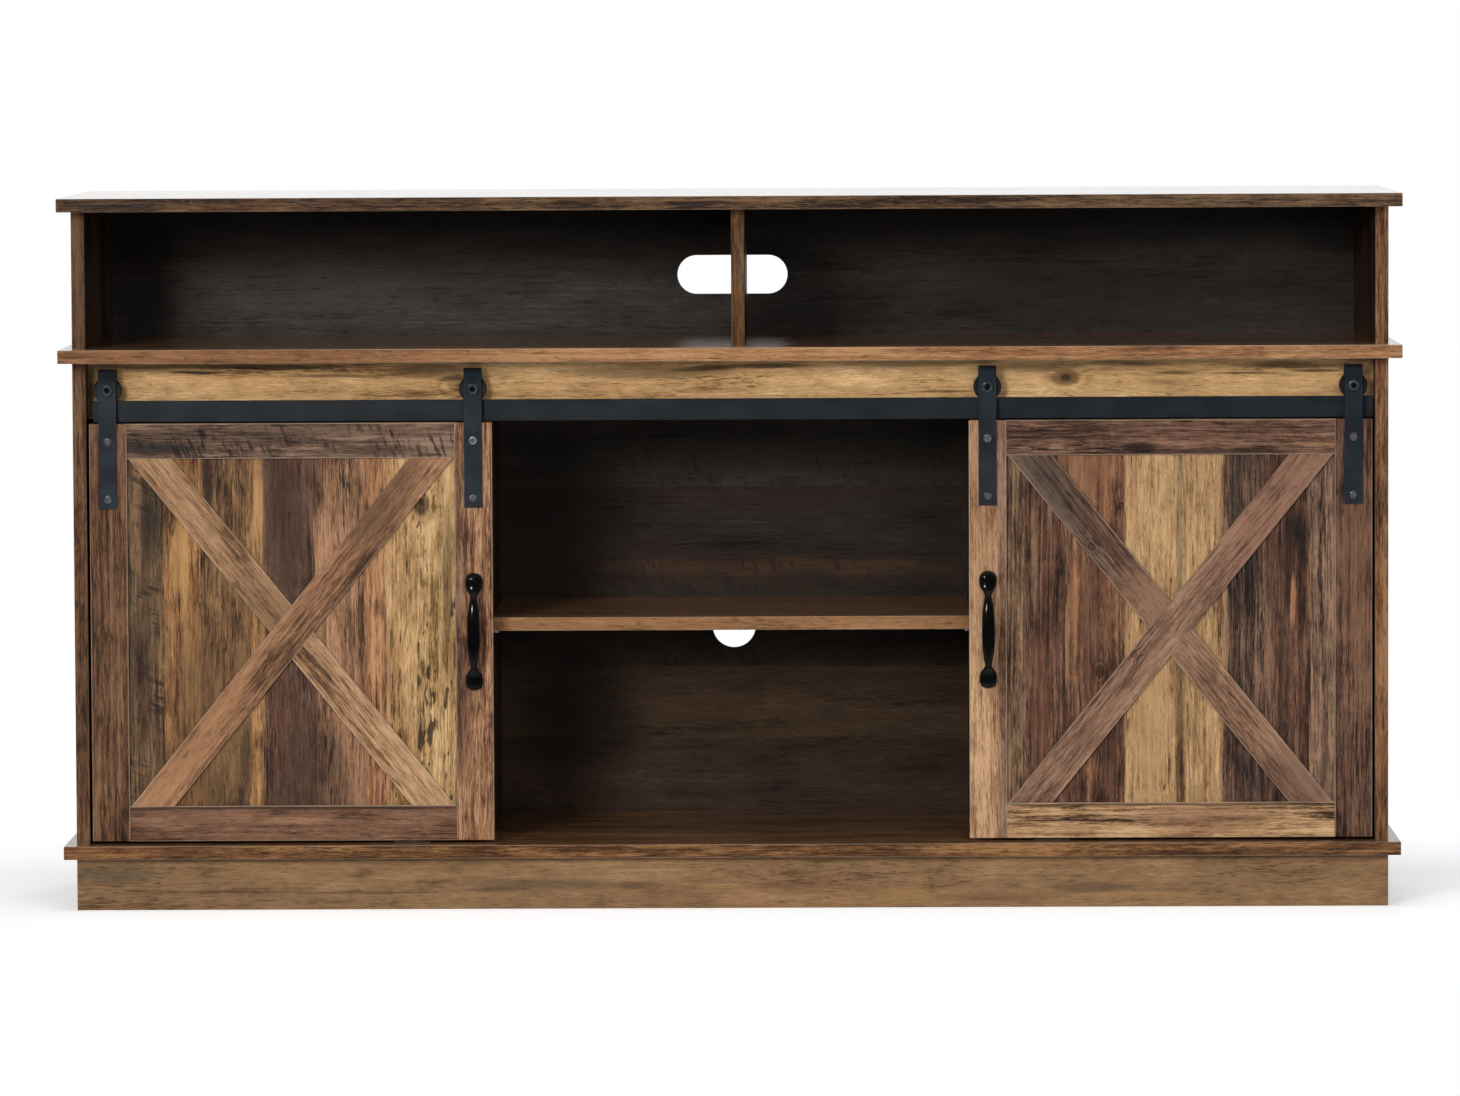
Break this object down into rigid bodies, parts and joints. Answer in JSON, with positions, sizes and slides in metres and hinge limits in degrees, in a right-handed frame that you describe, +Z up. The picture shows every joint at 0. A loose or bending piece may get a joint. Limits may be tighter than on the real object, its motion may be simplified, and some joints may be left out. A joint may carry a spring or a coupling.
{
  "type": "tv stand with sliding doors",
  "caption": "Low tv stand in wood boards: two open bays on top, an open centre bay with a shelf, and two cross-braced doors that slide on wheels along a steel rail.",
  "frame": {"origin": "on the floor, at the middle of the width and of the depth", "axes": "+X to the right along the length, +Y to the back, +Z up; the doors face -Y"},
  "size_m": [1.5, 0.4, 0.801],
  "materials": {
    "carcass_board": "satin",
    "header_board": "satin",
    "plinth_board": "satin",
    "back_board": "satin",
    "door_panel": "satin",
    "door_trim": "satin",
    "door_brace": "satin",
    "pull_black": "gloss",
    "rail_black": "satin",
    "bolt_black": "satin",
    "wheel_nylon": "matte",
    "guide_plastic": "matte",
    "zinc_steel": "satin"
  },
  "bodies": {
    "carcass": {"back_nails": "zinc_steel", "back_panel_centre": "back_board", "back_panel_left": "back_board", "back_panel_right": "back_board", "bottom_panel": "carcass_board", "cabinet_shelf_left": "carcass_board", "cabinet_shelf_right": "carcass_board", "cam_locks": "zinc_steel", "carcass_screws": "zinc_steel", "centre_shelf": "carcass_board", "floor_guides": "guide_plastic", "header_board": "header_board", "lower_side_left": "carcass_board", "lower_side_right": "carcass_board", "mid_panel": "carcass_board", "partition_left": "carcass_board", "partition_right": "carcass_board", "plinth_centre": "plinth_board", "plinth_front": "plinth_board", "plinth_left": "plinth_board", "plinth_rear": "plinth_board", "plinth_right": "plinth_board", "rail": "rail_black", "rail_bolts": "bolt_black", "rail_spacers": "rail_black", "shelf_pins": "zinc_steel", "top_panel": "carcass_board", "upper_back_panel": "back_board", "upper_divider": "carcass_board", "upper_side_left": "carcass_board", "upper_side_right": "carcass_board"},
    "left_door": {"left_door_bottom_trim": "door_trim", "left_door_brace_long": "door_brace", "left_door_brace_lower": "door_brace", "left_door_brace_upper": "door_brace", "left_door_handle": "pull_black", "left_door_hangers": "rail_black", "left_door_panel": "door_panel", "left_door_screws": "bolt_black", "left_door_stile_inner": "door_trim", "left_door_stile_outer": "door_trim", "left_door_top_trim": "door_trim", "left_door_wheel_axles": "bolt_black"},
    "left_door_inner_wheel": {"left_door_inner_wheel": "wheel_nylon"},
    "left_door_outer_wheel": {"left_door_outer_wheel": "wheel_nylon"},
    "right_door": {"right_door_bottom_trim": "door_trim", "right_door_brace_long": "door_brace", "right_door_brace_lower": "door_brace", "right_door_brace_upper": "door_brace", "right_door_handle": "pull_black", "right_door_hangers": "rail_black", "right_door_panel": "door_panel", "right_door_screws": "bolt_black", "right_door_stile_inner": "door_trim", "right_door_stile_outer": "door_trim", "right_door_top_trim": "door_trim", "right_door_wheel_axles": "bolt_black"},
    "right_door_inner_wheel": {"right_door_inner_wheel": "wheel_nylon"},
    "right_door_outer_wheel": {"right_door_outer_wheel": "wheel_nylon"}
  },
  "joints": [
    {"name": "left_door_slide", "type": "slide", "parent": "carcass", "child": "left_door", "axis": [1, 0, 0], "range_m": [0, 0.2665]},
    {"name": "left_door_inner_wheel_turn", "type": "hinge", "parent": "left_door", "child": "left_door_inner_wheel", "pos_m": [-0.2885, -0.147, 0.585], "axis": [0, 1, 0], "range_deg": [-1, 1275]},
    {"name": "left_door_outer_wheel_turn", "type": "hinge", "parent": "left_door", "child": "left_door_outer_wheel", "pos_m": [-0.6985, -0.147, 0.585], "axis": [0, 1, 0], "range_deg": [-1, 1275]},
    {"name": "right_door_slide", "type": "slide", "parent": "carcass", "child": "right_door", "axis": [-1, 0, 0], "range_m": [0, 0.2665]},
    {"name": "right_door_inner_wheel_turn", "type": "hinge", "parent": "right_door", "child": "right_door_inner_wheel", "pos_m": [0.2885, -0.147, 0.585], "axis": [0, -1, 0], "range_deg": [-1, 1275]},
    {"name": "right_door_outer_wheel_turn", "type": "hinge", "parent": "right_door", "child": "right_door_outer_wheel", "pos_m": [0.6985, -0.147, 0.585], "axis": [0, -1, 0], "range_deg": [-1, 1275]}
  ],
  "couplings": [
    {"joint": "left_door_inner_wheel_turn", "follows": "left_door_slide", "rad_per_m": 83.333},
    {"joint": "left_door_outer_wheel_turn", "follows": "left_door_slide", "rad_per_m": 83.333},
    {"joint": "right_door_inner_wheel_turn", "follows": "right_door_slide", "rad_per_m": 83.333},
    {"joint": "right_door_outer_wheel_turn", "follows": "right_door_slide", "rad_per_m": 83.333}
  ]
}
